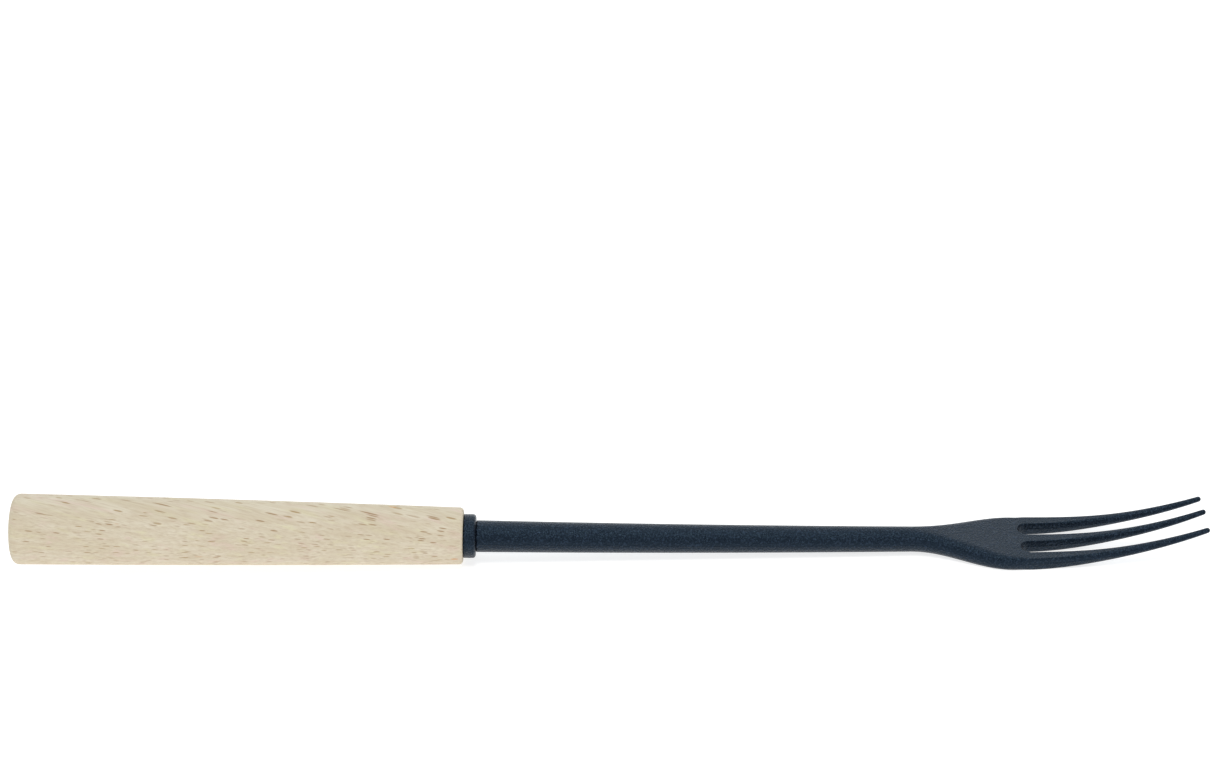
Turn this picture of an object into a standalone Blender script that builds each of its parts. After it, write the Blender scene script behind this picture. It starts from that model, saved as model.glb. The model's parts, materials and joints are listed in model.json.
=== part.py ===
"""Marshmallow roasting fork: a turned wooden handle, a collar and a cast three-tined fork.

The fork lies as it rests on a table, on the handle's front rim and on the flat under its head.
+X runs from the butt of the handle to the points of the tines, +Z is up, and the origin is on
the table under the middle of the object. Every piece is modelled along the handle's own axis,
X from the butt, and one empty tips them all by the angle at which the fork rests.
"""

import math

import bmesh
import bpy
from mathutils import Matrix, Vector

MM = 0.001

# Driving dimensions
OVERALL_LENGTH = 339.9 * MM
REST_PITCH = math.radians(2.39)
GAP = 0.3 * MM

# Handle: turned hardwood, a slow taper with a slight belly
HANDLE_LENGTH = 128.6 * MM
BUTT_RADIUS = 10.14 * MM
FRONT_RADIUS = 8.14 * MM
BELLY = 0.23 * MM
BUTT_ROUNDING = 2.0 * MM
FRONT_ROUNDING = 1.1 * MM
BORE_RADIUS = 4.2 * MM
BORE_DEPTH = 66 * MM
DRILL_POINT = math.radians(59)

# Collar: a ring between the handle and the shoulder of the shaft
COLLAR_RADIUS = 6.3 * MM
COLLAR_LENGTH = 3.1 * MM
COLLAR_BORE_RADIUS = 3.8 * MM
COLLAR_REAR_ROUNDING = 0.35 * MM
COLLAR_FRONT_ROUNDING = 0.9 * MM

# Tang: the end of the fork that is glued into the handle
TANG_LENGTH = 60 * MM
TANG_RADIUS = 2.7 * MM
TANG_TIP_RADIUS = 2.1 * MM
TANG_NECK_RADIUS = 3.5 * MM
TANG_NECK_DEPTH = 1.0 * MM
BARB_RADIUS = 3.2 * MM
BARB_LENGTH = 3.0 * MM
BARB_SPACING = 12 * MM
BARB_COUNT = 4
TANG_ROOT_OVERLAP = 4.0 * MM

# Shaft: round and tapered, swept gently upwards
SHAFT_START = HANDLE_LENGTH + COLLAR_LENGTH + 2 * GAP
SHAFT_REAR_RADIUS = 4.57 * MM
SHAFT_NECK_RADIUS = 3.62 * MM
SWEEP_RADIUS = 5570 * MM

# Head: the shaft widens, and is planed flat on top and below
HEAD_START = 256.8 * MM
HEAD_FULL = 285.6 * MM
HEAD_END = 290.8 * MM
HEAD_HALF_WIDTH = 11.15 * MM
HEAD_END_HALF_WIDTH = 10.86 * MM
HEAD_THICKNESS = 3.9 * MM
HEAD_CROWN = 3.75 * MM
HEAD_SQUARENESS = 2.8
RAMP_START = 258.5 * MM
RAMP_END = 286.0 * MM

# Tines: three, on circular arcs, the middle one bent a little tighter
TINE_START = 291.0 * MM
TINE_ROOT_SPACING = 8.85 * MM
TINE_POINT_SPACING = 7.94 * MM
TINE_OVERLAP = 5.0 * MM
TINE_ROOT_RADIUS = 1.93 * MM
TINE_TIP_RADIUS = 0.76 * MM
TINE_TAPER_POWER = 1.25
TINE_ROOT_SQUARENESS = 3.6
TINE_TIP_SQUARENESS = 2.2
OUTER_TINE_BEND = 139.5 * MM
MIDDLE_TINE_BEND = 128.0 * MM
SLOT_RADIUS = TINE_ROOT_SPACING / 2 - TINE_ROOT_RADIUS
SLOT_CENTRE = TINE_START - 0.5 * MM

# Facets
HANDLE_SIDES = 40
TURNED_SIDES = 28
LOFT_SIDES = 28
TINE_SIDES = 14
ARC_STEPS = 4
SHAFT_STATIONS = 9
HEAD_STATIONS = 16
TINE_STATIONS = 13
TIP_STATIONS = 3
TIP_LAST_ANGLE = 80.0
HANDLE_STATIONS = 6
SLOT_SIDES = 32
SHARP_ANGLE = math.radians(35)
PLANER_SIZE = 60 * MM
DRILL_DEPTH = 30 * MM


def clear_scene():
    """Remove every object, so that the script can be run again."""
    for old in list(bpy.data.objects):
        bpy.data.objects.remove(old, do_unlink=True)


def new_collection(name):
    """Return an empty collection linked to the scene."""
    old = bpy.data.collections.get(name)
    if old:
        bpy.data.collections.remove(old)
    collection = bpy.data.collections.new(name)
    bpy.context.scene.collection.children.link(collection)
    return collection


def finish(name, colour, roughness, metallic):
    """Return a Principled material."""
    material = bpy.data.materials.new(name)
    material.use_nodes = True
    shader = material.node_tree.nodes["Principled BSDF"]
    shader.inputs["Base Color"].default_value = (*colour, 1.0)
    shader.inputs["Roughness"].default_value = roughness
    shader.inputs["Metallic"].default_value = metallic
    return material


def place(obj, collection, tilt):
    """Link an object to its collection and hang it on the tilted empty."""
    collection.objects.link(obj)
    obj.parent = tilt
    return obj


def as_cutter(obj):
    """Mark an object as a tool shape that isn't part of the fork."""
    obj.hide_render = True
    obj.display_type = "WIRE"
    return obj


def smooth_step(t):
    """Ease from 0 to 1, flat at both ends."""
    t = min(max(t, 0.0), 1.0)
    return t * t * (3.0 - 2.0 * t)


def mix(a, b, t):
    """Straight line from a to b."""
    return a + (b - a) * t


# Turned pieces: profiles of (radius, distance from the butt), from the front down the outside

def arc(radius, along, rounding, start, stop):
    """Points of a rounded edge about (radius, along), from angle start to stop in degrees."""
    points = []
    for step in range(ARC_STEPS + 1):
        angle = math.radians(mix(start, stop, step / ARC_STEPS))
        points.append((radius + rounding * math.cos(angle), along + rounding * math.sin(angle)))
    return points


def handle_radius(along):
    """Taper from butt to front, with a slight belly."""
    t = along / HANDLE_LENGTH
    return mix(BUTT_RADIUS, FRONT_RADIUS, t) + 4.0 * BELLY * t * (1.0 - t)


def handle_profile():
    """Blind bore with its drill point, front face, long side and butt."""
    floor = HANDLE_LENGTH - BORE_DEPTH
    point = floor - BORE_RADIUS / math.tan(DRILL_POINT)
    profile = [(0.0, point), (BORE_RADIUS, floor), (BORE_RADIUS, HANDLE_LENGTH)]
    front = HANDLE_LENGTH - FRONT_ROUNDING
    profile += arc(handle_radius(front) - FRONT_ROUNDING, front, FRONT_ROUNDING, 90, 0)
    for step in range(1, HANDLE_STATIONS):
        along = mix(front, BUTT_ROUNDING, step / HANDLE_STATIONS)
        profile.append((handle_radius(along), along))
    profile += arc(handle_radius(BUTT_ROUNDING) - BUTT_ROUNDING, BUTT_ROUNDING, BUTT_ROUNDING, 0, -90)
    profile.append((0.0, 0.0))
    return profile


def collar_profile():
    """A plain ring with a softened rear edge and a rounder front edge."""
    rear = HANDLE_LENGTH + GAP
    front = rear + COLLAR_LENGTH
    profile = [(COLLAR_BORE_RADIUS, front)]
    rounding = COLLAR_FRONT_ROUNDING
    profile += arc(COLLAR_RADIUS - rounding, front - rounding, rounding, 90, 0)
    rounding = COLLAR_REAR_ROUNDING
    profile += arc(COLLAR_RADIUS - rounding, rear + rounding, rounding, 0, -90)
    profile.append((COLLAR_BORE_RADIUS, rear))
    return profile


def barb_centres():
    """Distances of the tang's barbs from the butt, front one first."""
    first = HANDLE_LENGTH - BARB_SPACING
    return [first - BARB_SPACING * index for index in range(BARB_COUNT)]


def tang_side(grow, front):
    """The tang's outside from front to tip, its barbs included, grown by a clearance."""
    side = [(TANG_RADIUS + grow, front)]
    for centre in barb_centres():
        half = BARB_LENGTH / 2 + grow
        side.append((TANG_RADIUS + grow, centre + half))
        side.append((BARB_RADIUS + grow, centre + half))
        side.append((TANG_RADIUS + grow, centre - half))
    tip = HANDLE_LENGTH - TANG_LENGTH
    chamfer = TANG_RADIUS - TANG_TIP_RADIUS
    side.append((TANG_RADIUS + grow, tip + chamfer))
    side.append((TANG_TIP_RADIUS + grow, tip - grow))
    return side


def tang_profile():
    """Neck through the collar, barbed tang and its end."""
    inside_shaft = SHAFT_START + TANG_ROOT_OVERLAP
    neck_end = HANDLE_LENGTH - TANG_NECK_DEPTH
    profile = [(0.0, inside_shaft), (TANG_NECK_RADIUS, inside_shaft), (TANG_NECK_RADIUS, neck_end)]
    profile += tang_side(0.0, neck_end)
    profile.append((0.0, HANDLE_LENGTH - TANG_LENGTH))
    return profile


def adhesive_profile():
    """A cup of cured resin that fills the bore around the tang and under its end."""
    front = HANDLE_LENGTH - TANG_NECK_DEPTH - GAP
    floor = HANDLE_LENGTH - BORE_DEPTH + GAP
    outer = BORE_RADIUS - GAP
    inner = tang_side(GAP, front)
    profile = [(0.0, inner[-1][1])]
    profile += reversed(inner)
    profile += [(outer, front), (outer, floor), (0.0, floor)]
    return profile


def turned(name, profile, sides, closed=False):
    """Spin a profile about the handle's axis."""
    points = [(radius, 0.0, along) for radius, along in profile]
    edges = [(index, index + 1) for index in range(len(points) - 1)]
    if closed:
        edges.append((len(points) - 1, 0))
    mesh = bpy.data.meshes.new(name)
    mesh.from_pydata(points, edges, [])
    obj = bpy.data.objects.new(name, mesh)
    obj.rotation_euler = (0.0, math.pi / 2, 0.0)
    screw = obj.modifiers.new("turn", "SCREW")
    screw.steps = sides
    screw.render_steps = sides
    screw.use_merge_vertices = True
    screw.merge_threshold = 0.00001
    screw.use_smooth_shade = True
    return obj


# Lofted pieces: the shaft and head, and the tines

def section(centre, tilt, half_width, half_height, squareness, sides):
    """Ring of points on a superellipse, across a path that climbs at the angle tilt."""
    ring = []
    for side in range(sides):
        angle = 2.0 * math.pi * side / sides
        across = math.cos(angle)
        up = math.sin(angle)
        power = 2.0 / squareness
        across = math.copysign(abs(across) ** power, across) * half_width
        up = math.copysign(abs(up) ** power, up) * half_height
        ring.append(centre + Vector((-math.sin(tilt) * up, across, math.cos(tilt) * up)))
    return ring


def loft(name, rings):
    """Skin a row of rings and cap both ends."""
    build = bmesh.new()
    rows = [[build.verts.new(point) for point in ring] for ring in rings]
    count = len(rows[0])
    for rear, front in zip(rows, rows[1:]):
        for index in range(count):
            following = (index + 1) % count
            build.faces.new((rear[index], rear[following], front[following], front[index]))
    build.faces.new(rows[0])
    build.faces.new(rows[-1])
    bmesh.ops.recalc_face_normals(build, faces=build.faces)
    mesh = bpy.data.meshes.new(name)
    build.to_mesh(mesh)
    build.free()
    return bpy.data.objects.new(name, mesh)


def table_height():
    """Height of the handle's axis over the table, at the butt."""
    front = HANDLE_LENGTH - FRONT_ROUNDING
    hub = handle_radius(front) - FRONT_ROUNDING
    return front * math.sin(REST_PITCH) + hub * math.cos(REST_PITCH) + FRONT_ROUNDING


def underside(along):
    """Height of the table under the handle's axis, as the tilted fork sees it."""
    return (along * math.sin(REST_PITCH) - table_height()) / math.cos(REST_PITCH)


def sweep(along):
    """Rise of the shaft's centre line above the handle's axis."""
    return (along - SHAFT_START) ** 2 / (2.0 * SWEEP_RADIUS)


def body_section(along):
    """Round on the shaft, wide and squarer across the head."""
    shaft = (along - SHAFT_START) / (HEAD_START - SHAFT_START)
    head = smooth_step((along - HEAD_START) / (HEAD_FULL - HEAD_START))
    radius = mix(SHAFT_REAR_RADIUS, SHAFT_NECK_RADIUS, min(shaft, 1.0))
    middle = underside(along) + HEAD_THICKNESS / 2
    centre = Vector((along, 0.0, mix(sweep(along), middle, head)))
    waist = smooth_step((along - HEAD_FULL) / (HEAD_END - HEAD_FULL))
    half_width = mix(radius, mix(HEAD_HALF_WIDTH, HEAD_END_HALF_WIDTH, waist), head)
    half_height = mix(radius, HEAD_CROWN, head)
    squareness = mix(2.0, HEAD_SQUARENESS, head)
    return section(centre, 0.0, half_width, half_height, squareness, LOFT_SIDES)


def body():
    """Shaft and head blank, before the flats are planed."""
    stations = [mix(SHAFT_START, HEAD_START, step / SHAFT_STATIONS) for step in range(SHAFT_STATIONS)]
    stations += [mix(HEAD_START, HEAD_END, step / HEAD_STATIONS) for step in range(HEAD_STATIONS + 1)]
    return loft("fork", [body_section(along) for along in stations])


def tine(name, side, bend):
    """A tine: straight inside the head, then an arc that thins to a rounded point.

    side is 1 on the left, 0 in the middle and -1 on the right. The outer tines close in a little
    towards their points.
    """
    reach = (OVERALL_LENGTH - TINE_START) / bend
    length = bend * (math.asin(math.sin(REST_PITCH) + reach) - REST_PITCH)
    taper_end = length - TINE_TIP_RADIUS
    stations = [(-TINE_OVERLAP, TINE_ROOT_RADIUS)]
    for step in range(TINE_STATIONS + 1):
        t = step / TINE_STATIONS
        radius = mix(TINE_ROOT_RADIUS, TINE_TIP_RADIUS, t ** TINE_TAPER_POWER)
        stations.append((taper_end * t, radius))
    for step in range(1, TIP_STATIONS + 1):
        angle = math.radians(TIP_LAST_ANGLE * step / TIP_STATIONS)
        travel = taper_end + TINE_TIP_RADIUS * math.sin(angle)
        stations.append((travel, TINE_TIP_RADIUS * math.cos(angle)))
    rings = []
    for travel, radius in stations:
        t = min(max(travel / length, 0.0), 1.0)
        across = side * mix(TINE_ROOT_SPACING, TINE_POINT_SPACING, t)
        squareness = mix(TINE_ROOT_SQUARENESS, TINE_TIP_SQUARENESS, t)
        rings.append(tine_section(across, bend, travel, radius, squareness))
    return loft(name, rings)


def tine_section(across, bend, travel, radius, squareness):
    """Section of a tine at a distance along its centre line from the root."""
    root = Vector((TINE_START, across, underside(TINE_START) + HEAD_THICKNESS / 2))
    angle = REST_PITCH + max(travel, 0.0) / bend
    straight = min(travel, 0.0)
    ahead = bend * (math.sin(angle) - math.sin(REST_PITCH)) + straight * math.cos(REST_PITCH)
    up = bend * (math.cos(REST_PITCH) - math.cos(angle)) + straight * math.sin(REST_PITCH)
    return section(root + Vector((ahead, 0.0, up)), angle, radius, radius, squareness, TINE_SIDES)


# Cutters

def plane_cutter(name, point, tilt, above, ahead):
    """A block with one face through a point, on the side to be planed away.

    ahead is 1 where the block starts at the point, -1 where it ends there, and 0 where it is
    centred on it.
    """
    bpy.ops.mesh.primitive_cube_add(size=PLANER_SIZE)
    block = bpy.context.active_object
    block.name = name
    block.users_collection[0].objects.unlink(block)
    side = 1.0 if above else -1.0
    offset = Vector((ahead, 0.0, side)) * PLANER_SIZE / 2
    turn = Matrix.Rotation(-tilt, 4, "Y")
    block.data.transform(turn @ Matrix.Translation(offset))
    block.location = point
    return as_cutter(block)


def slot_cutter(name, across):
    """An upright cylinder that rounds the end of a slot between two tines."""
    bpy.ops.mesh.primitive_cylinder_add(vertices=SLOT_SIDES, radius=SLOT_RADIUS, depth=DRILL_DEPTH)
    drill = bpy.context.active_object
    drill.name = name
    drill.users_collection[0].objects.unlink(drill)
    drill.location = (SLOT_CENTRE, across, 0.0)
    return as_cutter(drill)


def boolean(target, tool, operation):
    """Join a tool shape to an object, or cut it away."""
    modifier = target.modifiers.new(tool.name, "BOOLEAN")
    modifier.operation = operation
    modifier.solver = "EXACT"
    modifier.object = tool


def build_fork(parts, tools, tilt):
    """The one-piece casting: barbed tang, shaft, head and three tines."""
    fork = place(body(), parts, tilt)
    deck = underside(RAMP_END) + HEAD_THICKNESS
    ramp_top = sweep(RAMP_START) + SHAFT_NECK_RADIUS
    fall = math.atan2(deck - ramp_top, RAMP_END - RAMP_START)
    cuts = [
        plane_cutter("ramp_cutter", (RAMP_END, 0.0, deck), fall, True, -1),
        plane_cutter("deck_cutter", (RAMP_END, 0.0, deck), REST_PITCH, True, 1),
        plane_cutter("underside_cutter", (RAMP_END, 0.0, underside(RAMP_END)), REST_PITCH, False, 0),
        slot_cutter("left_slot_cutter", TINE_ROOT_SPACING / 2),
        slot_cutter("right_slot_cutter", -TINE_ROOT_SPACING / 2),
    ]
    for cutter in cuts:
        boolean(fork, place(cutter, tools, tilt), "DIFFERENCE")
    joins = [
        turned("tang", tang_profile(), TURNED_SIDES),
        tine("left_tine", 1, OUTER_TINE_BEND),
        tine("middle_tine", 0, MIDDLE_TINE_BEND),
        tine("right_tine", -1, OUTER_TINE_BEND),
    ]
    for shape in joins:
        boolean(fork, place(as_cutter(shape), tools, tilt), "UNION")
    fork.data.shade_smooth()
    fork.data.set_sharp_from_angle(angle=SHARP_ANGLE)
    return fork


def centre_over_origin(tilt, nodes):
    """Slide the fork along X until the origin is under the middle of its box."""
    bpy.context.view_layer.update()
    depsgraph = bpy.context.evaluated_depsgraph_get()
    reach = []
    for node in nodes:
        solid = node.evaluated_get(depsgraph)
        for vertex in solid.data.vertices:
            reach.append((solid.matrix_world @ vertex.co).x)
    tilt.location.x -= (min(reach) + max(reach)) / 2


def main():
    clear_scene()
    parts = new_collection("marshmallow_roasting_fork")
    tools = new_collection("cutters")

    tilt = bpy.data.objects.new("rest_tilt", None)
    tilt.location = (0.0, 0.0, table_height())
    tilt.rotation_euler = (0.0, REST_PITCH, 0.0)
    parts.objects.link(tilt)

    handle = place(turned("handle", handle_profile(), HANDLE_SIDES), parts, tilt)
    collar = place(turned("collar", collar_profile(), TURNED_SIDES, closed=True), parts, tilt)
    adhesive = place(turned("tang_adhesive", adhesive_profile(), TURNED_SIDES), parts, tilt)
    fork = build_fork(parts, tools, tilt)

    handle.data.materials.append(finish("pale_hardwood", (0.67, 0.57, 0.43), 0.62, 0.0))
    collar.data.materials.append(finish("slate_collar_coat", (0.040, 0.053, 0.068), 0.55, 0.0))
    adhesive.data.materials.append(finish("cured_resin", (0.55, 0.43, 0.22), 0.35, 0.0))
    fork.data.materials.append(finish("slate_fork_coat", (0.040, 0.053, 0.068), 0.55, 0.0))

    centre_over_origin(tilt, [handle, fork])


main()
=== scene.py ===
# %% [markdown]
# # A marshmallow roasting fork
#
# A turned wooden handle, a coated metal ring at its front, and a cast fork whose tang is glued
# into the handle. The imported CAD model gives the places and the sizes. This script lays fine
# surfaces over it and gives them their finishes.
#
# The frame is loaded first. Nothing made here may outgrow it.

# %% Load the imported model
import json
import math

import bpy
import numpy as np
from mathutils import Euler, Matrix, Vector


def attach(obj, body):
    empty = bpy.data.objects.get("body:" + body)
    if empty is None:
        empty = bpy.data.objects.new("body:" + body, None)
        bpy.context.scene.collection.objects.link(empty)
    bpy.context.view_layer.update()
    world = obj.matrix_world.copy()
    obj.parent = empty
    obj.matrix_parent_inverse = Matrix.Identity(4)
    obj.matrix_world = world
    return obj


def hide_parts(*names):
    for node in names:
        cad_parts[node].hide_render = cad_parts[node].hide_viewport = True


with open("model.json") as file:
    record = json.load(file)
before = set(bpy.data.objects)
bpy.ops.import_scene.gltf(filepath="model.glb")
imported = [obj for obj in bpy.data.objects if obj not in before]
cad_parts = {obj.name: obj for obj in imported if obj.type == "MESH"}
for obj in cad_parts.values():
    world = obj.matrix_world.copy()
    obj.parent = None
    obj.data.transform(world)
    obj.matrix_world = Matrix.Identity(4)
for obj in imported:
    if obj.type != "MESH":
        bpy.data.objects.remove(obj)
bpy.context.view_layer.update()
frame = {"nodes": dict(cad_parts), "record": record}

MM = 0.001

# %% [markdown]
# ## The handle's own axes
#
# The fork lies nose down by a couple of degrees, on the front rim of its handle and on the flat
# under its head. Its shape is much easier to say along the handle's axis than along the world's,
# so each surface below is worked out as (along, across, up) in millimetres: along the axis from
# the butt, sideways, and square to both. One function turns those numbers into world metres. The
# axis is read from the record, where the middle of the butt is a mount that points straight out.

# %% Axes from the butt's mount
mounts = {mount["name"]: mount for mount in frame["record"]["mounts"]}
BUTT = np.array(mounts["butt_face"]["pos_m"])
AXIS = -np.array(mounts["butt_face"]["axis"])
SIDE = np.array([0.0, 1.0, 0.0])
LIFT = np.cross(AXIS, SIDE)
PITCH = math.asin(-AXIS[2])


def in_place(along, across, up):
    """World point = butt + along x axis + across x side + up x lift, from millimetres to metres."""
    along, across, up = np.broadcast_arrays(along, across, up)
    return BUTT + MM * (along[..., None] * AXIS + across[..., None] * SIDE + up[..., None] * LIFT)


print("nose-down pitch in degrees:", round(math.degrees(PITCH), 3))

# %% [markdown]
# ## From a grid of points to a closed mesh
#
# Every piece is a surface with two parameters, so its points form a grid and its faces are the
# cells of that grid. Where a surface closes on itself, at a seam, a pole or an outline, two grid
# points fall on one spot. Welding those points closes the skin, and cells that shrink to a line
# or a point become triangles or go away. Each edge should then have exactly two faces, which is
# counted and printed for each piece.

# %% Grid cells and the welded mesh
WELD = 1e-7
CREASE = math.radians(38)


def cells(rows, columns, start=0, face_up=True):
    """Corner numbers of each cell, for grid points numbered row by row from start."""
    number = start + np.arange(rows * columns).reshape(rows, columns)
    corners = [number[:-1, :-1], number[1:, :-1], number[1:, 1:], number[:-1, 1:]]
    if not face_up:
        corners.reverse()
    return np.stack(corners, axis=-1).reshape(-1, 4)


def welded_piece(name, points, quads):
    """Weld points that share a spot, drop collapsed corners and faces, and make the object."""
    spots = np.round(points / WELD).astype(np.int64)
    _, first, number = np.unique(spots, axis=0, return_index=True, return_inverse=True)
    quads = number.reshape(-1)[quads]
    kept = quads != np.roll(quads, 1, axis=1)
    corners = kept.sum(axis=1)
    folded = (quads[:, 0] == quads[:, 2]) | (quads[:, 1] == quads[:, 3])
    four = quads[(corners == 4) & ~folded]
    three = quads[(corners == 3) & ~folded][kept[(corners == 3) & ~folded]].reshape(-1, 3)
    mesh = bpy.data.meshes.new(name)
    mesh.from_pydata(points[first].tolist(), [], four.tolist() + three.tolist())
    mesh.update()
    mesh.shade_smooth()
    mesh.set_sharp_from_angle(angle=CREASE)
    piece = bpy.data.objects.new(name, mesh)
    bpy.context.scene.collection.objects.link(piece)
    describe(name, four, three)
    return piece


def describe(name, four, three):
    """Print the triangle count, and how many edges don't have exactly two faces."""
    edges = [np.stack([faces, np.roll(faces, -1, axis=1)], axis=-1).reshape(-1, 2)
             for faces in (four, three)]
    edges = np.sort(np.concatenate(edges), axis=1)
    _, shared = np.unique(edges, axis=0, return_counts=True)
    print(name, "triangles", 2 * len(four) + len(three), "open edges", int((shared != 2).sum()))


# %% [markdown]
# ## Turned pieces
#
# The handle and the ring come off a lathe, so each one is a profile, which is a line of
# (along, radius) points, carried once round the axis. Straight runs get extra points, so that
# the faces stay about square, and edges are rounded by a quarter circle.

# %% Profiles and the lathe
def run(start, stop, step):
    """Points on the straight line from start to stop, at most one step apart, stop left out."""
    start, stop = np.array(start, float), np.array(stop, float)
    count = max(int(math.ceil(np.linalg.norm(stop - start) / step)), 1)
    return start + (stop - start) * (np.arange(count) / count)[:, None]


def rounding(centre, radius, start, stop, count=14):
    """Arc of a rounded edge: centre + radius x (cos, sin), from start to stop in degrees."""
    angle = np.radians(np.linspace(start, stop, count + 1))
    return np.array(centre) + radius * np.stack([np.cos(angle), np.sin(angle)], axis=1)


def turned(name, profile, sides):
    """Surface (along, radius x cos a, radius x sin a), for the profile's points and a full turn."""
    angle = np.linspace(0.0, 2.0 * math.pi, sides + 1)
    angle[-1] = 0.0
    along, radius = profile[:, :1], profile[:, 1:]
    points = in_place(along, radius * np.cos(angle), radius * np.sin(angle)).reshape(-1, 3)
    return welded_piece(name, points, cells(len(profile), sides + 1, face_up=False))


# %% [markdown]
# ## The wooden handle
#
# A plain turned handle, thickest at the butt, with a slight belly and softly broken edges. A
# blind hole is drilled into its front for the tang. Its radius is a straight taper plus a
# parabola that is nought at both ends, which is how a turner lets a handle swell in the hand.

# %% Handle profile
HANDLE_LENGTH = 128.6
BUTT_RADIUS = 10.14
FRONT_RADIUS = 8.14
BELLY = 0.23
BUTT_ROUNDING = 2.0
FRONT_ROUNDING = 1.1
BORE_RADIUS = 4.2
BORE_DEPTH = 66.0
BORE_CHAMFER = 0.3
DRILL_POINT = math.radians(59)
HANDLE_SIDES = 144
SIDE_POINTS = 150
FACE_STEP = 0.8
BORE_STEP = 1.5


def handle_radius(along):
    """Taper from butt to front plus 4 x belly x t x (1 - t), t being the part of the length."""
    t = along / HANDLE_LENGTH
    return BUTT_RADIUS + (FRONT_RADIUS - BUTT_RADIUS) * t + 4.0 * BELLY * t * (1.0 - t)


def handle_profile():
    """Butt, side, front rim, then back down the bore to the drill's point."""
    front = HANDLE_LENGTH - FRONT_ROUNDING
    mouth = (HANDLE_LENGTH, BORE_RADIUS + BORE_CHAMFER)
    chamfer_end = (HANDLE_LENGTH - BORE_CHAMFER, BORE_RADIUS)
    butt_hub = handle_radius(BUTT_ROUNDING) - BUTT_ROUNDING
    front_hub = handle_radius(front) - FRONT_ROUNDING
    floor = HANDLE_LENGTH - BORE_DEPTH
    point = floor - BORE_RADIUS / math.tan(DRILL_POINT)
    side = np.linspace(BUTT_ROUNDING, front, SIDE_POINTS)[1:-1]
    return np.concatenate([
        run((0.0, 0.0), (0.0, butt_hub), FACE_STEP),
        rounding((BUTT_ROUNDING, butt_hub), BUTT_ROUNDING, 180, 90),
        np.stack([side, handle_radius(side)], axis=1),
        rounding((front, front_hub), FRONT_ROUNDING, 90, 0),
        run((HANDLE_LENGTH, front_hub), mouth, FACE_STEP)[1:],
        run(mouth, chamfer_end, FACE_STEP),
        run(chamfer_end, (floor, BORE_RADIUS), BORE_STEP),
        run((floor, BORE_RADIUS), (point, 0.0), FACE_STEP),
        [(point, 0.0)],
    ])


handle = turned("turned_handle", handle_profile(), HANDLE_SIDES)
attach(handle, "root")
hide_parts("handle")

# %% [markdown]
# ## The ring at the handle's front
#
# A short ring in the same coat as the fork hides the mouth of the tang's hole and stiffens it
# against splitting. Its front edge is rounder than its rear one. On the real fork it is pressed
# home, so only a hairline seam shows on either side of it, and that seam is narrower here than
# the gap that the CAD model leaves. The profile is a closed loop, so the turned surface has an
# outside, a bore and two faces.

# %% Ring profile
SEAM = 0.08
RING_LENGTH = 3.54
RING_REAR = HANDLE_LENGTH + SEAM
RING_FRONT = RING_REAR + RING_LENGTH
RING_RADIUS = 6.3
RING_BORE = 3.8
RING_REAR_ROUNDING = 0.35
RING_FRONT_ROUNDING = 0.9
RING_SIDES = 128
RING_FACE_STEP = 0.4
RING_SIDE_STEP = 0.3
RING_BORE_STEP = 0.5
SMALL_ARC = 8


def ring_profile():
    """Rear face outwards, the outside forwards, front face inwards, and back through the bore."""
    rear_hub = (RING_REAR + RING_REAR_ROUNDING, RING_RADIUS - RING_REAR_ROUNDING)
    front_hub = (RING_FRONT - RING_FRONT_ROUNDING, RING_RADIUS - RING_FRONT_ROUNDING)
    return np.concatenate([
        run((RING_REAR, RING_BORE), (RING_REAR, rear_hub[1]), RING_FACE_STEP),
        rounding(rear_hub, RING_REAR_ROUNDING, 180, 90, SMALL_ARC),
        run((rear_hub[0], RING_RADIUS), (front_hub[0], RING_RADIUS), RING_SIDE_STEP)[1:],
        rounding(front_hub, RING_FRONT_ROUNDING, 90, 0),
        run((RING_FRONT, front_hub[1]), (RING_FRONT, RING_BORE), RING_FACE_STEP)[1:],
        run((RING_FRONT, RING_BORE), (RING_REAR, RING_BORE), RING_BORE_STEP),
        [(RING_REAR, RING_BORE)],
    ])


ring = turned("front_ring", ring_profile(), RING_SIDES)
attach(ring, "root")
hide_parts("collar")

# %% [markdown]
# ## The cast fork: what its surface has to do
#
# Tang, shaft, head and tines are one casting, so they are one skin here too. The trick is to see
# the whole fork as three strips side by side, each with a top and an under sheet. On the shaft
# the six sheets close into a round bar. Across the head they spread into a plate. From the roots
# of the slots on, the strips part, and each one becomes a tine.
#
# A sheet point is: centre line + across x side + height x normal. The centre line follows the
# handle's axis, rises a little along the shaft, and bends upwards along the tines.

# %% Blends used by the fork's formulas
def ease(t):
    """Smooth step from 0 to 1, flat at both ends: t x t x (3 - 2t)."""
    t = np.clip(t, 0.0, 1.0)
    return t * t * (3.0 - 2.0 * t)


def mix(a, b, t):
    """Straight line from a to b."""
    return a + (b - a) * t


def soft_lower(a, b, width):
    """The lower of a and b, with the corner rounded where they are within width of each other."""
    near = np.maximum(width - np.abs(a - b), 0.0)
    return np.minimum(a, b) - near * near / (4.0 * width)


def soft_higher(a, b, width):
    """The higher of a and b, with the corner filled where they are within width of each other."""
    return -soft_lower(-a, -b, width)


def oval(distance, reach, power):
    """Rise from 0 at an edge to 1 at the reach, as a quarter of a superellipse."""
    left = 1.0 - np.clip(distance / np.maximum(reach, 1e-6), 0.0, 1.0)
    return (1.0 - left ** power) ** (1.0 / power)


# %% [markdown]
# ## The fork's centre line
#
# The shaft is swept up by a little over a millimetre along its length, as part of a very large
# circle. The head lies flat on the table. Each tine then bends up along a circle, and the middle
# one bends a little more than the outer two. A station is a distance along this line, and past
# the start of the tines it runs along the arc.

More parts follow.
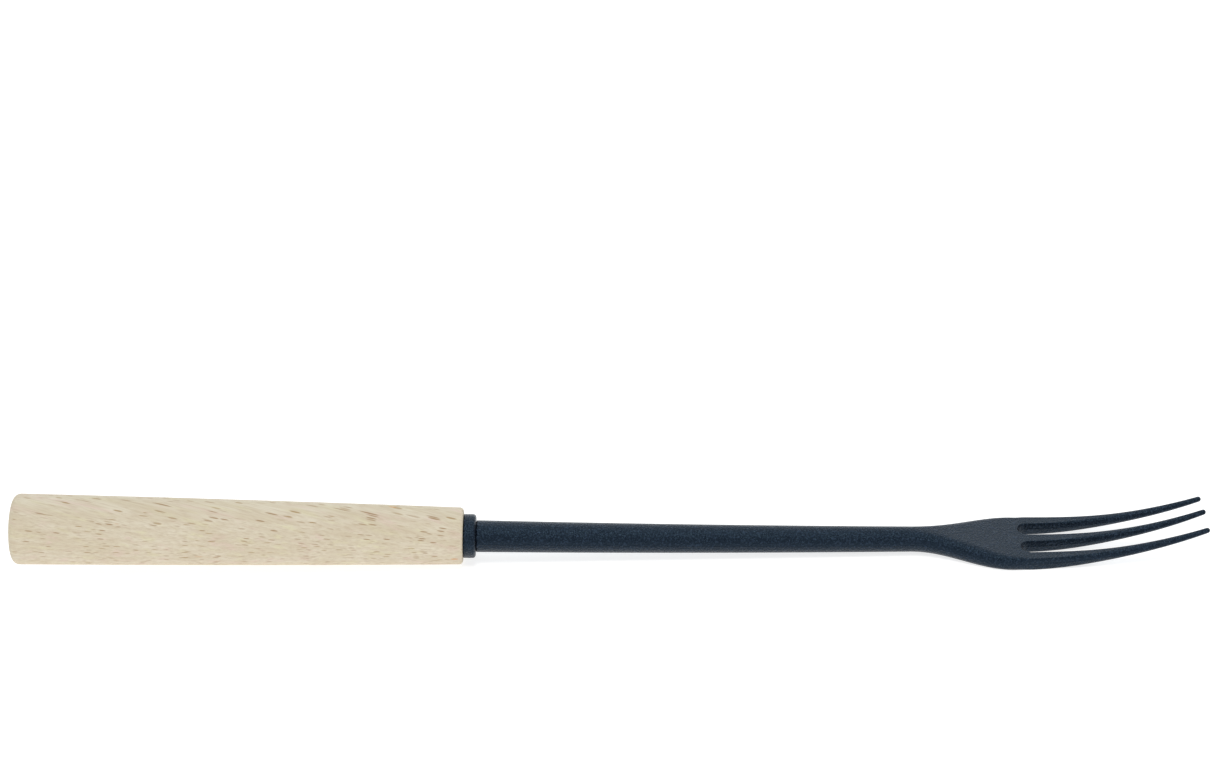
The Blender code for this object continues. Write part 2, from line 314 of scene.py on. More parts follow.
# %% Centre line and its tilt
SHAFT_START = RING_FRONT + SEAM
SWEEP_RADIUS = 5570.0
HEAD_START = 256.8
HEAD_FULL = 285.6
PLATE_THICKNESS = 3.9
TINE_START = 291.0
OVERALL_LENGTH = 339.9
STRIP_BEND = np.array([139.5, 128.0, 139.5])
front_rim = HANDLE_LENGTH - FRONT_ROUNDING
AXIS_HEIGHT = (front_rim * math.sin(PITCH) + FRONT_ROUNDING
               + (handle_radius(front_rim) - FRONT_ROUNDING) * math.cos(PITCH))
point_turn = np.arcsin(math.sin(PITCH) + (OVERALL_LENGTH - TINE_START) / STRIP_BEND)
TINE_LENGTH = STRIP_BEND * (point_turn - PITCH)


def table_under(along):
    """Height of the table over the axis: (along x sin pitch - axis height) / cos pitch."""
    return (along * math.sin(PITCH) - AXIS_HEIGHT) / math.cos(PITCH)


def shaft_rise(along):
    """Rise of the shaft's centre line: distance from the shaft's start, squared, over a diameter."""
    return np.maximum(along - SHAFT_START, 0.0) ** 2 / (2.0 * SWEEP_RADIUS)


def centre_line(station, bend):
    """Along, up and tilt at a station, on the shaft and the head or on a tine's arc."""
    head = ease((station - HEAD_START) / (HEAD_FULL - HEAD_START))
    up = mix(shaft_rise(station), table_under(station) + PLATE_THICKNESS / 2, head)
    tilt = PITCH * ease((station - HEAD_START) / (TINE_START - HEAD_START))
    travel = np.maximum(station - TINE_START, 0.0)
    turn = PITCH + travel / bend
    root_up = table_under(TINE_START) + PLATE_THICKNESS / 2
    arc_along = TINE_START + bend * (np.sin(turn) - math.sin(PITCH))
    arc_up = root_up + bend * (math.cos(PITCH) - np.cos(turn))
    on_tine = station > TINE_START
    choices = ((arc_along, station), (arc_up, up), (turn, tilt))
    return [np.where(on_tine, on_arc, before) for on_arc, before in choices]


print("axis height over the table in mm:", round(AXIS_HEIGHT, 3))
print("tine lengths in mm:", TINE_LENGTH.round(2))

# %% [markdown]
# ## Outline seen from above
#
# The outline is as wide as the round bar on the shaft, eases out to the head, draws in by a
# third of a millimetre and runs on along the outer tines. The slots end in a half circle and
# widen forwards as the tines taper. Near the points the half-width follows a circle, so that
# each tine ends round.

# %% Half-widths of the bar, the head, the slots and the tines
SHAFT_REAR_RADIUS = 4.57
SHAFT_NECK_RADIUS = 3.62
HEAD_HALF_WIDTH = 11.15
TINE_ROOT_SPACING = 8.85
TINE_POINT_SPACING = 7.94
TINE_ROOT_RADIUS = 1.93
TINE_TIP_RADIUS = 0.76
TAPER_POWER = 1.25
SLOT_ACROSS = TINE_ROOT_SPACING / 2
SLOT_RADIUS = SLOT_ACROSS - TINE_ROOT_RADIUS
SLOT_LEAD = 0.5
SLOT_CENTRE = TINE_START - SLOT_LEAD
SLOT_ROOT = SLOT_CENTRE - SLOT_RADIUS


def bar_radius(station):
    """Radius of the round bar: a straight taper along the shaft."""
    t = (station - SHAFT_START) / (HEAD_START - SHAFT_START)
    return mix(SHAFT_REAR_RADIUS, SHAFT_NECK_RADIUS, np.clip(t, 0.0, 1.0))


def tine_radius(station, length):
    """Half-width of a tine: it thins faster towards the point, and a half circle closes it."""
    point = TINE_START + length - TINE_TIP_RADIUS
    t = np.clip((station - SLOT_CENTRE) / (point - SLOT_CENTRE), 0.0, 1.0)
    taper = mix(TINE_ROOT_RADIUS, TINE_TIP_RADIUS, t ** TAPER_POWER)
    past = np.clip((station - point) / TINE_TIP_RADIUS, 0.0, 1.0)
    return taper * np.sqrt(1.0 - past * past)


def outer_tine_across(station, length):
    """Sideways place of an outer tine's middle: it closes in a little towards the point."""
    t = (station - SLOT_CENTRE) / (TINE_START + length - SLOT_CENTRE)
    return mix(TINE_ROOT_SPACING, TINE_POINT_SPACING, np.clip(t, 0.0, 1.0))


def outer_half_width(station, radius, length):
    """Half-width of the whole fork: bar, head, then the outer tine's far side."""
    head = mix(radius, HEAD_HALF_WIDTH, ease((station - HEAD_START) / (HEAD_FULL - HEAD_START)))
    tine = outer_tine_across(station, length) + tine_radius(station, length)
    return mix(head, tine, ease((station - HEAD_FULL) / (SLOT_CENTRE - HEAD_FULL)))


def slot_walls(station, length):
    """Across values of a slot's near and far wall: a circle at its root, then the tines' sides."""
    back = np.clip((SLOT_CENTRE - station) / SLOT_RADIUS, 0.0, 1.0)
    root = SLOT_RADIUS * np.sqrt(1.0 - back * back)
    pin = tine_radius(station, length)
    round_end = station < SLOT_CENTRE
    near = np.where(round_end, SLOT_ACROSS - root, pin)
    far = np.where(round_end, SLOT_ACROSS + root, outer_tine_across(station, length) - pin)
    return near, far


# %% [markdown]
# ## Thickness
#
# The casting is a bar that is flattened. On top, a long ramp planes the bar down to the deck of
# the head, and below, everything stops at the table. The bar's own section turns from a circle
# into a superellipse, which keeps the sides of the head full. Planes and bar meet in soft
# corners, as a coated casting does. Along the tines the section starts as a flat bar with
# rounded edges and ends as a round pin.

# %% Heights of the top and under sheets over the centre line
HEAD_CROWN = 3.75
HEAD_SQUARENESS = 2.8
RAMP_START = 258.5
RAMP_END = 286.0
DECK_HEIGHT = PLATE_THICKNESS * math.cos(PITCH)
CREST_SOFTNESS = 0.4
RAMP_FILLET = 0.9
ROUND = 2.0
TINE_EDGE = 0.36
ROUND_FROM = 294.0
ROUND_BY = 326.0


def ramp_height(along, up, tilt):
    """Distance from the centre line to the ramp's plane, measured along the tilted normal."""
    start = np.array([RAMP_START, shaft_rise(RAMP_START) + SHAFT_NECK_RADIUS])
    stop = np.array([RAMP_END, table_under(RAMP_END) + PLATE_THICKNESS])
    normal = np.array([start[1] - stop[1], stop[0] - start[0]])
    reach = normal[0] * (start[0] - along) + normal[1] * (start[1] - up)
    return reach / (normal[1] * np.cos(tilt) - normal[0] * np.sin(tilt))


def plate_heights(station, radius, across, half_width, line):
    """Top and under height of bar and head: a superellipse, planed above and below."""
    along, up, tilt = line
    head = ease((station - HEAD_START) / (HEAD_FULL - HEAD_START))
    section = oval(half_width - np.abs(across), half_width, mix(ROUND, HEAD_SQUARENESS, head))
    crown = mix(radius, HEAD_CROWN, head) * section
    over_table = (up - table_under(along)) * math.cos(PITCH)
    lean = np.cos(tilt - PITCH)
    deck = (DECK_HEIGHT - over_table) / lean
    flat = soft_higher(ramp_height(along, up, tilt), deck, RAMP_FILLET)
    under = soft_lower(crown, over_table / lean, CREST_SOFTNESS)
    return soft_lower(crown, flat, CREST_SOFTNESS), under


def edge_distance(station, across, half_width, length):
    """Distance inwards from a slot's wall, and from the nearest edge of any kind."""
    near, far = slot_walls(station, length)
    aside = np.abs(across)
    to_root = np.hypot(station - SLOT_CENTRE, aside - SLOT_ACROSS) - SLOT_RADIUS
    to_side = np.maximum(near - aside, aside - far)
    to_slot = np.where(station < SLOT_CENTRE, to_root, to_side)
    return np.maximum(to_slot, 0.0), np.minimum(to_slot, half_width - aside)


def sheet_heights(station, radius, across, half_width, length, line):
    """Plate heights easing into tine heights, both falling to nought at a slot's wall."""
    to_slot, to_edge = edge_distance(station, across, half_width, length)
    over, under = plate_heights(station, radius, across, half_width, line)
    pin = tine_radius(station, length)
    edge = mix(TINE_EDGE, pin, ease((station - ROUND_FROM) / (ROUND_BY - ROUND_FROM)))
    edge = np.minimum(edge, pin)
    thickness = mix(PLATE_THICKNESS / 2, pin, ease((station - SLOT_ROOT) / SLOT_RADIUS))
    tine = thickness * oval(to_edge, edge, ROUND)
    wall = oval(to_slot, TINE_EDGE, ROUND)
    share = ease((station - HEAD_FULL) / (SLOT_CENTRE - HEAD_FULL))
    return mix(over * wall, tine, share), mix(under * wall, tine, share)


# %% [markdown]
# ## Stations along the fork
#
# Behind the shaft the casting narrows to a neck through the ring and a barbed tang in the
# handle's hole. That part is plainly turned, so its stations are the points of a profile. Along
# the shaft they can be far apart. They crowd where the shape changes fast: over the head, round
# the roots of the slots, and at the points.

# %% Tang profile and the list of stations
TANG_DEPTH = 60.0
TANG_END = HANDLE_LENGTH - TANG_DEPTH
TANG_RADIUS = 2.7
TANG_END_RADIUS = 2.1
NECK_RADIUS = 3.5
NECK_REAR = HANDLE_LENGTH - 1.0
BARB_RADIUS = 3.2
BARB_LENGTH = 3.0
BARB_SPACING = 12.0
BARB_COUNT = 4
SHAFT_REAR_ROUNDING = 0.4
TANG_STEP = 1.2
SHAFT_ROWS = 64
HEAD_ROWS = 96
CROWDED = 1.2
CROWDED_ROWS = 14
SLOT_END_ROWS = 20
TINE_ROWS = 76
POINT_ROWS = 13
QUARTER_TURN = math.pi / 2


def tang_profile():
    """From the tang's end forwards over its barbs and neck to the shaft's rounded rear edge."""
    chamfer_end = TANG_END + TANG_RADIUS - TANG_END_RADIUS
    corners = [(TANG_END, 0.0), (TANG_END, TANG_END_RADIUS), (chamfer_end, TANG_RADIUS)]
    for barb in range(BARB_COUNT, 0, -1):
        rear = HANDLE_LENGTH - BARB_SPACING * barb - BARB_LENGTH / 2
        front = rear + BARB_LENGTH
        corners += [(rear, TANG_RADIUS), (front, BARB_RADIUS), (front, TANG_RADIUS)]
    hub = SHAFT_REAR_RADIUS - SHAFT_REAR_ROUNDING
    corners += [(NECK_REAR, TANG_RADIUS), (NECK_REAR, NECK_RADIUS)]
    corners += [(SHAFT_START, NECK_RADIUS), (SHAFT_START, hub)]
    runs = [run(start, stop, TANG_STEP) for start, stop in zip(corners, corners[1:])]
    edge_hub = (SHAFT_START + SHAFT_REAR_ROUNDING, hub)
    edge = rounding(edge_hub, SHAFT_REAR_ROUNDING, 180, 90, SMALL_ARC)
    return np.concatenate(runs + [edge])


def fork_stations():
    """Stations and bar radii, one row each, with a column for each of the three strips."""
    tang = tang_profile()
    shaft = np.linspace(tang[-1, 0], HEAD_START, SHAFT_ROWS)[1:]
    head = np.linspace(HEAD_START, SLOT_ROOT - CROWDED, HEAD_ROWS)[1:]
    near_slot = SLOT_ROOT - CROWDED * np.linspace(1.0, 0.0, CROWDED_ROWS)[1:] ** 2
    slot_angle = np.linspace(0.0, QUARTER_TURN, SLOT_END_ROWS)[1:]
    slot_end = SLOT_CENTRE - SLOT_RADIUS * np.cos(slot_angle)
    plain = np.concatenate([tang[:, 0], shaft, head, near_slot, slot_end])
    points = TINE_START + TINE_LENGTH - TINE_TIP_RADIUS
    tines = SLOT_CENTRE + np.linspace(0.0, 1.0, TINE_ROWS)[1:, None] * (points - SLOT_CENTRE)
    point_angle = np.linspace(0.0, QUARTER_TURN, POINT_ROWS)[1:, None]
    ends = points + TINE_TIP_RADIUS * np.sin(point_angle)
    station = np.concatenate([np.repeat(plain[:, None], 3, axis=1), tines, ends])
    radius = bar_radius(station)
    radius[:len(tang)] = tang[:, 1:]
    return station, radius


station, radius = fork_stations()
print("fork stations:", len(station), "from", station.min().round(1), "to", station.max().round(1))

# %% [markdown]
# ## The casting's parting line
#
# A die is made in two halves, and where they meet the metal leaves a fine raised line round the
# part. Here it is a ridge of less than a tenth of a millimetre along the outline, halfway up the
# thickness. It takes only one trick: the outermost column of each sheet is pushed out, while the
# next column, a hair's breadth away, stays where it was.

# %% Six sheets of points, then one skin
COLUMNS = 28
RIDGE = 0.07
RIDGE_SHARE = 0.0005
RIDGE_RUN_IN = 2.0


def column_shares():
    """Positions across a strip, 0 to 1: crowded at the edges, and one more beside each edge."""
    even = (1.0 - np.cos(np.linspace(0.0, math.pi, COLUMNS + 1))) / 2.0
    return np.sort(np.concatenate([even, [RIDGE_SHARE, 1.0 - RIDGE_SHARE]]))


def strip_edges(station, half_width):
    """Across values of each strip's two edges, arrays of rows x 3 strips."""
    seam = SLOT_ACROSS * np.where(station < HEAD_FULL, half_width / HEAD_HALF_WIDTH, 1.0)
    near, far = [np.where(station < SLOT_ROOT, seam, wall) for wall in slot_walls(station, TINE_LENGTH)]
    low = np.stack([-half_width[:, 0], -near[:, 1], far[:, 2]], axis=1)
    high = np.stack([-far[:, 0], near[:, 1], half_width[:, 2]], axis=1)
    return low, high


def fork_sheets():
    """Top and under points, arrays of rows x strips x columns x 3."""
    half_width = outer_half_width(station, radius, TINE_LENGTH)
    half_width = np.where(station < HEAD_START, radius, half_width)
    low, high = strip_edges(station, half_width)
    share = column_shares()
    across = low[..., None] + (high - low)[..., None] * share
    wide = [value[..., None] for value in (station, radius, half_width)]
    length = TINE_LENGTH[:, None]
    line = centre_line(wide[0], STRIP_BEND[:, None])
    over, under = sheet_heights(wide[0], wide[1], across, wide[2], length, line)
    across = across + parting_ridge(station, share)
    along, up, tilt = line
    sheets = []
    for height in (over, -under):
        sheets.append(in_place(along - height * np.sin(tilt), across, up + height * np.cos(tilt)))
    return sheets


def parting_ridge(station, share):
    """Push of the outline columns: on the outside, and on slot walls once the slot opens."""
    at_point = np.minimum(tine_radius(station, TINE_LENGTH) / TINE_TIP_RADIUS, 1.0)
    size = RIDGE * ease((station - SHAFT_START) / RIDGE_RUN_IN) * at_point
    in_slot = size * ease((station - SLOT_ROOT) / SLOT_RADIUS)
    push = np.zeros(station.shape + share.shape)
    push[:, 0, 0], push[:, 2, -1] = -size[:, 0], size[:, 2]
    push[:, 0, -1], push[:, 2, 0] = in_slot[:, 0], -in_slot[:, 2]
    push[:, 1, 0], push[:, 1, -1] = -in_slot[:, 1], in_slot[:, 1]
    return push


def cast_fork():
    """Join the six sheets into one welded skin."""
    points, quads, start = [], [], 0
    for sheet, face_up in zip(fork_sheets(), (True, False)):
        rows, strips, columns = sheet.shape[:3]
        for strip in range(strips):
            points.append(sheet[:, strip].reshape(-1, 3))
            quads.append(cells(rows, columns, start, face_up))
            start += rows * columns
    return welded_piece("cast_fork", np.concatenate(points), np.concatenate(quads))


fork = cast_fork()
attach(fork, "root")
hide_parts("fork")

# %% [markdown]
# ## Writing shader maths as Python
#
# A procedural material is a net of small nodes. Written out one node at a time it is hard to
# read, so a thin wrapper lets sums be written as sums: adding two wrapped sockets adds a Math
# node. Every other kind of node comes from one method, which takes the node's type, its settings
# and what goes into its sockets.

# %% A wrapped socket and a finish
class Wire:
    """An output socket of a finish, with the operators that shader maths needs."""

    def __init__(self, finish, socket):
        self.finish = finish
        self.socket = socket

    def math(self, operation, first, second):
        """A Math node on two values, either of which may be a wire."""
        return self.finish.node("ShaderNodeMath", {"operation": operation}, {0: first, 1: second})

    def __add__(self, other):
        return self.math("ADD", self, other)

    def __radd__(self, other):
        return self.math("ADD", other, self)

    def __sub__(self, other):
        return self.math("SUBTRACT", self, other)

    def __rsub__(self, other):
        return self.math("SUBTRACT", other, self)

    def __mul__(self, other):
        return self.math("MULTIPLY", self, other)

    def __rmul__(self, other):
        return self.math("MULTIPLY", other, self)

    def step(self, low, high):
        """0 below low, 1 above high, and a smooth step between them."""
        settings = {"interpolation_type": "SMOOTHSTEP"}
        inputs = {"Value": self, "From Min": low, "From Max": high}
        return self.finish.node("ShaderNodeMapRange", settings, inputs)


class Finish:
    """A material with a Principled shader, built by naming nodes and what goes into them."""

    def __init__(self, name, roughness, specular):
        self.material = bpy.data.materials.new(name)
        self.material.use_nodes = True
        self.tree = self.material.node_tree
        self.shader = self.tree.nodes["Principled BSDF"]
        self.shader.inputs["Roughness"].default_value = roughness
        self.shader.inputs["Specular IOR Level"].default_value = specular
        self.place = self.node("ShaderNodeTexCoord", output="Object")

    def feed(self, socket, value):
        """Link a wire to a socket, or set the socket's own value."""
        if isinstance(value, Wire):
            self.tree.links.new(value.socket, socket)
        else:
            socket.default_value = value

    def node(self, kind, settings=None, inputs=None, output=0):
        """Make a node: its settings first, then its sockets; returns one output."""
        made = self.tree.nodes.new(kind)
        for name, value in (settings or {}).items():
            setattr(made, name, value)
        for name, value in (inputs or {}).items():
            self.feed(made.inputs[name], value)
        return Wire(self, made.outputs[output])

    def grain_cells(self, size, turn=(0.0, 0.0, 0.0), offset=(0.0, 0.0, 0.0)):
        """Object coordinates, moved and turned onto the piece, then divided by a cell size in mm."""
        inputs = {"Vector": self.place, "Location": offset, "Rotation": turn,
                  "Scale": [side * MM for side in size]}
        return self.node("ShaderNodeMapping", {"vector_type": "TEXTURE"}, inputs)

    def noise(self, vector, detail=2.0, roughness=0.5):
        """Soft random values from 0 to 1, about one wave to a cell of the vector."""
        inputs = {"Vector": vector, "Scale": 1.0, "Detail": detail, "Roughness": roughness}
        return self.node("ShaderNodeTexNoise", {}, inputs)

    def blend(self, share, first, second):
        """Colour mix: first where share is 0, second where it is 1."""
        inputs = {0: share, 6: first, 7: second}
        return self.node("ShaderNodeMix", {"data_type": "RGBA"}, inputs, output=2)

    def bump(self, height, depth_mm, strength, normal=None):
        """Tilt the surface by a height pattern, on top of another bump if one is given."""
        inputs = {"Height": height, "Distance": depth_mm * MM, "Strength": strength}
        if normal:
            inputs["Normal"] = normal
        return self.node("ShaderNodeBump", {}, inputs)

    def finish(self, **sockets):
        """Feed the shader's sockets, underscores standing for spaces."""
        for name, value in sockets.items():
            self.feed(self.shader.inputs[name.replace("_", " ")], value)
        print(self.material.name, "nodes:", len(self.tree.nodes))
        return self.material


def linear(value):
    """Light that a paint chart's value from 0 to 255 stands for, by the standard screen curve."""
    share = value / 255.0
    if share <= 0.04045:
        return share / 12.92
    return ((share + 0.055) / 1.055) ** 2.4


def colour(red, green, blue):
    """Shader colour from the three values of a paint chart."""
    return [linear(red), linear(green), linear(blue), 1.0]


# %% [markdown]
# ## The wood
#
# A pale tropical hardwood, sanded and left matt. What gives it away is its vessels: fine brown
# dashes, long where they lie in the surface and short where they dive into it. They come in
# crowds, with plainer wood between, and here and there is an orange speck. All that is a thing
# of three dimensions, so the pattern is a solid one. Long thin cells lie along a grain direction
# that crosses the handle at a slant, and the turned surface simply cuts through them, also
# across the end grain of the butt.
#
# Each layer below has its own cell size in millimetres, long along the grain and narrow across
# it, and its own offset, so that the layers don't repeat each other.

# %% Wood colours and cell sizes
GRAIN_TURN = (0.0, PITCH + math.radians(3.0), math.radians(-17.0))
PALE_WOOD = colour(222, 212, 191)
WARM_WOOD = colour(213, 201, 176)
YELLOW_TINT = colour(219, 211, 177)
PINK_TINT = colour(220, 199, 184)
GROWTH_BAND = colour(202, 184, 158)
FIBRE_SHADE = colour(196, 178, 152)
VESSEL_BROWN = colour(162, 130, 96)
SPECK_BROWN = colour(168, 138, 98)
SAP_ORANGE = colour(206, 150, 96)
DRIFT_CELL = (30.0, 4.0, 4.0)
TINT_CELL = (16.0, 2.4, 2.4)
FIBRE_CELL = (8.0, 0.5, 0.3)
BAND_CELL = (26.0, 5.0, 5.0)
CROWD_CELL = (15.0, 3.0, 3.0)
LONG_VESSEL_CELL = (15.0, 1.25, 0.58)
SHORT_VESSEL_CELL = (9.0, 1.7, 0.52)
SAP_CELL = (30.0, 8.0, 6.0)
VESSEL_DEPTH_MM = 0.05


# %% Layers of the wood
def along_grain(wood, size, offset):
    """Three octaves of noise in cells that lie along the grain."""
    return wood.noise(wood.grain_cells(size, GRAIN_TURN, offset), 3.0, 0.6)


def growth_bands(wood, offset):
    """Wavy bands, one season's wood after another, cut through by the turned surface."""
    settings = {"wave_type": "BANDS", "bands_direction": "Z"}
    inputs = {"Vector": wood.grain_cells(BAND_CELL, GRAIN_TURN, offset), "Scale": 0.9,
              "Distortion": 6.0, "Detail": 3.0, "Detail Scale": 1.2}
    return wood.node("ShaderNodeTexWave", settings, inputs)


def vessel_mask(wood, size, offset, reach):
    """Scattered dashes: nearness to each cell's centre, times that cell's own strength."""
    inputs = {"Vector": wood.grain_cells(size, GRAIN_TURN, offset), "Scale": 1.0, "Randomness": 1.0}
    settings = {"voronoi_dimensions": "3D", "feature": "F1"}
    near = wood.node("ShaderNodeTexVoronoi", settings, inputs, "Distance")
    own = wood.node("ShaderNodeTexVoronoi", settings, inputs, "Color")
    strength = wood.node("ShaderNodeSeparateColor", {}, {0: own}, 0)
    return (1.0 - near.step(reach * 0.55, reach)) * strength.step(0.05, 0.62)


# %% Wood finish
def wood_finish():
    """Drifting tints, growth bands and fine fibre, and crowds of vessels along the grain."""
    wood = Finish("pale_hardwood", 0.62, 0.22)
    butt = tuple(BUTT)
    drift = along_grain(wood, DRIFT_CELL, butt)
    tint = along_grain(wood, TINT_CELL, (0.03, 0.01, 0.0))
    fibre = along_grain(wood, FIBRE_CELL, butt)
    bands = growth_bands(wood, butt)
    crowd = wood.noise(wood.grain_cells(CROWD_CELL, GRAIN_TURN, (0.013, 0.004, 0.002)))
    long_vessels = vessel_mask(wood, LONG_VESSEL_CELL, butt, 0.3)
    short_vessels = vessel_mask(wood, SHORT_VESSEL_CELL, (0.017, 0.006, 0.001), 0.28)
    sap = vessel_mask(wood, SAP_CELL, (0.005, 0.002, 0.004), 0.07)
    pores = long_vessels * (0.25 + 0.75 * crowd.step(0.36, 0.56))
    specks = short_vessels * (1.0 - crowd.step(0.4, 0.6))
    body = wood.blend(drift.step(0.3, 0.7), PALE_WOOD, WARM_WOOD)
    body = wood.blend(tint.step(0.54, 0.7) * 0.7, body, YELLOW_TINT)
    body = wood.blend((1.0 - tint.step(0.3, 0.45)) * 0.7, body, PINK_TINT)
    body = wood.blend(bands * 0.28, body, GROWTH_BAND)
    body = wood.blend(fibre.step(0.4, 0.7) * 0.55, body, FIBRE_SHADE)
    body = wood.blend(pores * 0.85, body, VESSEL_BROWN)
    body = wood.blend(specks * 0.85, body, SPECK_BROWN)
    body = wood.blend(sap * 0.8, body, SAP_ORANGE)
    height = 1.0 - pores * 0.8 - specks * 0.6 - fibre * 0.35
    relief = wood.bump(height, VESSEL_DEPTH_MM, 0.6)
    rough = 0.58 + 0.12 * fibre + 0.06 * pores
    return wood.finish(Base_Color=body, Roughness=rough, Normal=relief)


handle.data.materials.append(wood_finish())

# %% [markdown]
# ## The coat on the metal
#
# Fork and ring carry a dark, slightly bluish coat with a fine pebbled skin. Each pebble is
# glossy, but they face all ways, so the whole looks matt: even on the flat of the head, and
# sparkling a little where light grazes the round shaft. Two noises make the skin, one at about
# half a millimetre for the pebbles and a coarser one for slow waves in the coat. The tops of the
# pebbles are painted a shade lighter, as a painted highlight that stands for their sparkle. Roughness
# wanders a little, and a few pale scuffs lie along the shaft. The mirror light of the coat is tinted
# blue.

# %% Coat finish
COAT_DEEP = colour(11, 15, 24)
COAT_OPEN = colour(14, 19, 29)
# Painted highlight: a lighter colour painted on the tops of the pebbles, standing for their sparkle.
PAINTED_PEBBLE_GLINT = colour(40, 50, 66)
SCUFF_GREY = colour(90, 96, 104)
COAT_SHEEN = (0.42, 0.7, 1.0, 1.0)
PEBBLE_CELL = (0.55, 0.55, 0.55)
WAVE_CELL = (2.6, 2.6, 2.6)
WEAR_CELL = (14.0, 5.0, 5.0)
SCRATCH_CELL = (3.2, 0.32, 0.32)
SCRATCH_SLANT = 0.35
WAVE_DEPTH_MM = 0.05
PEBBLE_DEPTH_MM = 0.35


def coat_finish(name):
    """Slate-dark base, pebble bump, wandering roughness and sparse scuffs along the shaft."""
    coat = Finish(name, 0.3, 0.34)
    coat.shader.inputs["Specular Tint"].default_value = COAT_SHEEN
    pebble = coat.noise(coat.grain_cells(PEBBLE_CELL), 2.0, 0.55)
    wave = coat.noise(coat.grain_cells(WAVE_CELL))
    wear = coat.noise(coat.grain_cells(WEAR_CELL, (0.0, PITCH, 0.0)), 3.0, 0.6)
    scratch = coat.noise(coat.grain_cells(SCRATCH_CELL, (0.0, PITCH, SCRATCH_SLANT)), 2.0, 0.6)
    scuff = scratch.step(0.62, 0.76) * wear.step(0.54, 0.66)
    base = coat.blend(wave.step(0.3, 0.7), COAT_DEEP, COAT_OPEN)
    # Painted sparkle: where the pebble noise is high, the base colour is painted lighter, as a painted
    # highlight.
    base = coat.blend(pebble.step(0.52, 0.66) * 0.7, base, PAINTED_PEBBLE_GLINT)
    base = coat.blend(scuff * 0.5, base, SCUFF_GREY)
    rough = 0.18 + 0.12 * pebble + 0.06 * wave
    relief = coat.bump(wave, WAVE_DEPTH_MM, 0.5)
    relief = coat.bump(pebble, PEBBLE_DEPTH_MM, 1.0, relief)
    return coat.finish(Base_Color=base, Roughness=rough, Normal=relief)


fork.data.materials.append(coat_finish("fork_matt_coat"))
ring.data.materials.append(coat_finish("ring_matt_coat"))

# %% [markdown]
# ## The resin round the tang
#
# The cured resin in the handle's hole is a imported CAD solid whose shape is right, so it stays and
# only gets a finish. It is amber, a little cloudy and slightly glossy, with small bubbles.

# %% Resin finish
AMBER_DEEP = colour(178, 142, 84)
AMBER_CLOUDY = colour(201, 170, 112)
BUBBLE_PALE = colour(226, 206, 160)
CLOUD_CELL = (5.0, 2.0, 2.0)
BUBBLE_CELL = (1.3, 1.3, 1.3)
BUBBLE_DEPTH_MM = 0.05


def resin_finish():
    """Amber with cloudy drifts and small bubbles."""
    resin = Finish("amber_resin", 0.3, 0.5)
    cloud = resin.noise(resin.grain_cells(CLOUD_CELL), 3.0)
    inputs = {"Vector": resin.grain_cells(BUBBLE_CELL), "Scale": 1.0}
    near = resin.node("ShaderNodeTexVoronoi", {"feature": "F1"}, inputs, "Distance")
    bubble = 1.0 - near.step(0.12, 0.22)
    base = resin.blend(cloud.step(0.3, 0.7), AMBER_DEEP, AMBER_CLOUDY)
    base = resin.blend(bubble * 0.5, base, BUBBLE_PALE)
    rough = 0.26 + 0.2 * cloud
    relief = resin.bump(bubble, BUBBLE_DEPTH_MM, 0.4)
    return resin.finish(Base_Color=base, Roughness=rough, Normal=relief)


resin_node = frame["nodes"]["tang_adhesive"]
resin_node.data.materials.clear()
resin_node.data.materials.append(resin_finish())

# %% [markdown]
# ## Floor, light and camera
#
# The fork lies on a wide white sheet that glows softly, as on a light table, so the ground stays
# pure white and nearly free of shadow. A large cool softbox stands behind and gives the coat its
# bluish shine. A small warm lamp hangs overhead, a little in front, and makes the pebbles
# sparkle. Dim pale surroundings fill the near side. The camera is a long lens that looks down at
# about thirty degrees.

# %% Floor
FLOOR_SIZE = 40.0
SHEET_GLOW = 0.74
SHEET_GREY = [0.5, 0.5, 0.5, 1.0]
SHEET_FLECK = [0.54, 0.54, 0.54, 1.0]
FLECK_CELL = (1.5, 1.5, 1.5)
WHITE = (1.0, 1.0, 1.0, 1.0)


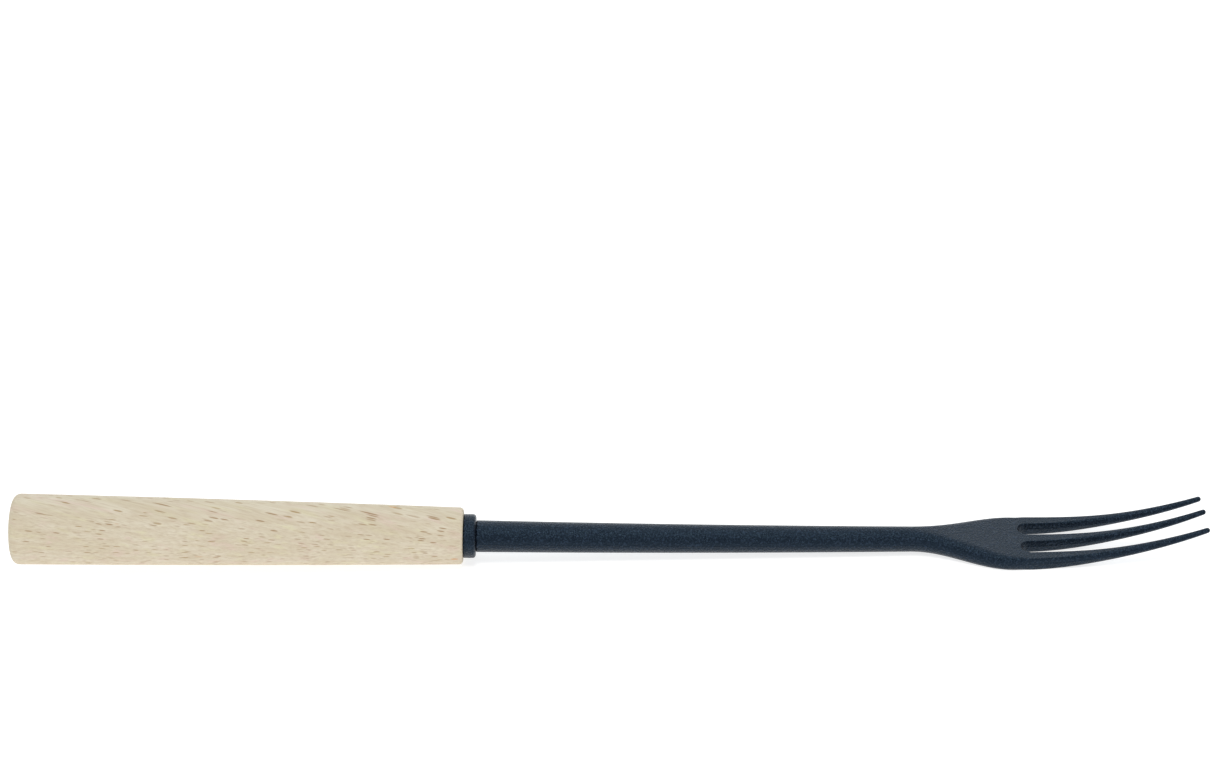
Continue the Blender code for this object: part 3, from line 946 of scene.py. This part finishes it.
def white_floor():
    """A flat square sheet at table height."""
    half = FLOOR_SIZE / 2
    corners = [(-half, -half, 0.0), (half, -half, 0.0), (half, half, 0.0), (-half, half, 0.0)]
    mesh = bpy.data.meshes.new("white_sheet")
    mesh.from_pydata(corners, [], [(0, 1, 2, 3)])
    floor = bpy.data.objects.new("white_sheet", mesh)
    bpy.context.scene.collection.objects.link(floor)
    paper = Finish("white_paper", 0.9, 0.1)
    fleck = paper.noise(paper.grain_cells(FLECK_CELL))
    paper.shader.inputs["Emission Color"].default_value = WHITE
    paper.shader.inputs["Emission Strength"].default_value = SHEET_GLOW
    mesh.materials.append(paper.finish(Base_Color=paper.blend(fleck, SHEET_GREY, SHEET_FLECK)))


white_floor()


# %% Lights
ROOM_TONE = (0.92, 0.96, 1.0, 1.0)
ROOM_LIGHT = 0.62
COOL = (0.78, 0.92, 1.0)
WARM = (1.0, 0.96, 0.9)


def soft_light(name, size, place, power, tone):
    """A square area light that faces the fork: size and place in metres, power in watts."""
    light = bpy.data.lights.new(name, "AREA")
    light.size = size
    light.energy = power
    light.color = tone
    lamp = bpy.data.objects.new(name, light)
    lamp.location = place
    lamp.rotation_euler = Vector(place).to_track_quat("Z", "Y").to_euler()
    bpy.context.scene.collection.objects.link(lamp)
    print(name, "at", round(Vector(place).length, 2), "m from the fork")


world = bpy.data.worlds.new("pale_room")
world.use_nodes = True
world.node_tree.nodes["Background"].inputs["Color"].default_value = ROOM_TONE
world.node_tree.nodes["Background"].inputs["Strength"].default_value = ROOM_LIGHT
bpy.context.scene.world = world
soft_light("rear_softbox", 2.0, (0.0, 1.1, 1.0), 7.5, COOL)
soft_light("overhead", 0.25, (0.0, -0.4, 1.1), 4.6, WARM)

# %% Camera
CAMERA_FROM_BUTT = (184.5, -702.3, 474.6)
CAMERA_ELEVATION = 31.49
CAMERA_TURN = 1.0
CAMERA_ROLL = -1.63
CAMERA_LENS = 87.35
CAMERA_SENSOR = 36.0
CAMERA_NEAREST = 0.05

camera = bpy.data.objects.new("camera", bpy.data.cameras.new("camera"))
camera.data.lens = CAMERA_LENS
camera.data.sensor_width = CAMERA_SENSOR
camera.data.clip_start = CAMERA_NEAREST
camera.location = BUTT + MM * np.array(CAMERA_FROM_BUTT)
aim = Euler((math.radians(90.0 - CAMERA_ELEVATION), 0.0, math.radians(CAMERA_TURN))).to_matrix()
camera.rotation_euler = (aim @ Matrix.Rotation(math.radians(CAMERA_ROLL), 3, "Z")).to_euler()
bpy.context.scene.collection.objects.link(camera)
bpy.context.scene.camera = camera
bpy.context.scene.view_settings.view_transform = "Standard"
print("camera in metres from the butt:", round(float(np.linalg.norm(CAMERA_FROM_BUTT)) * MM, 3))
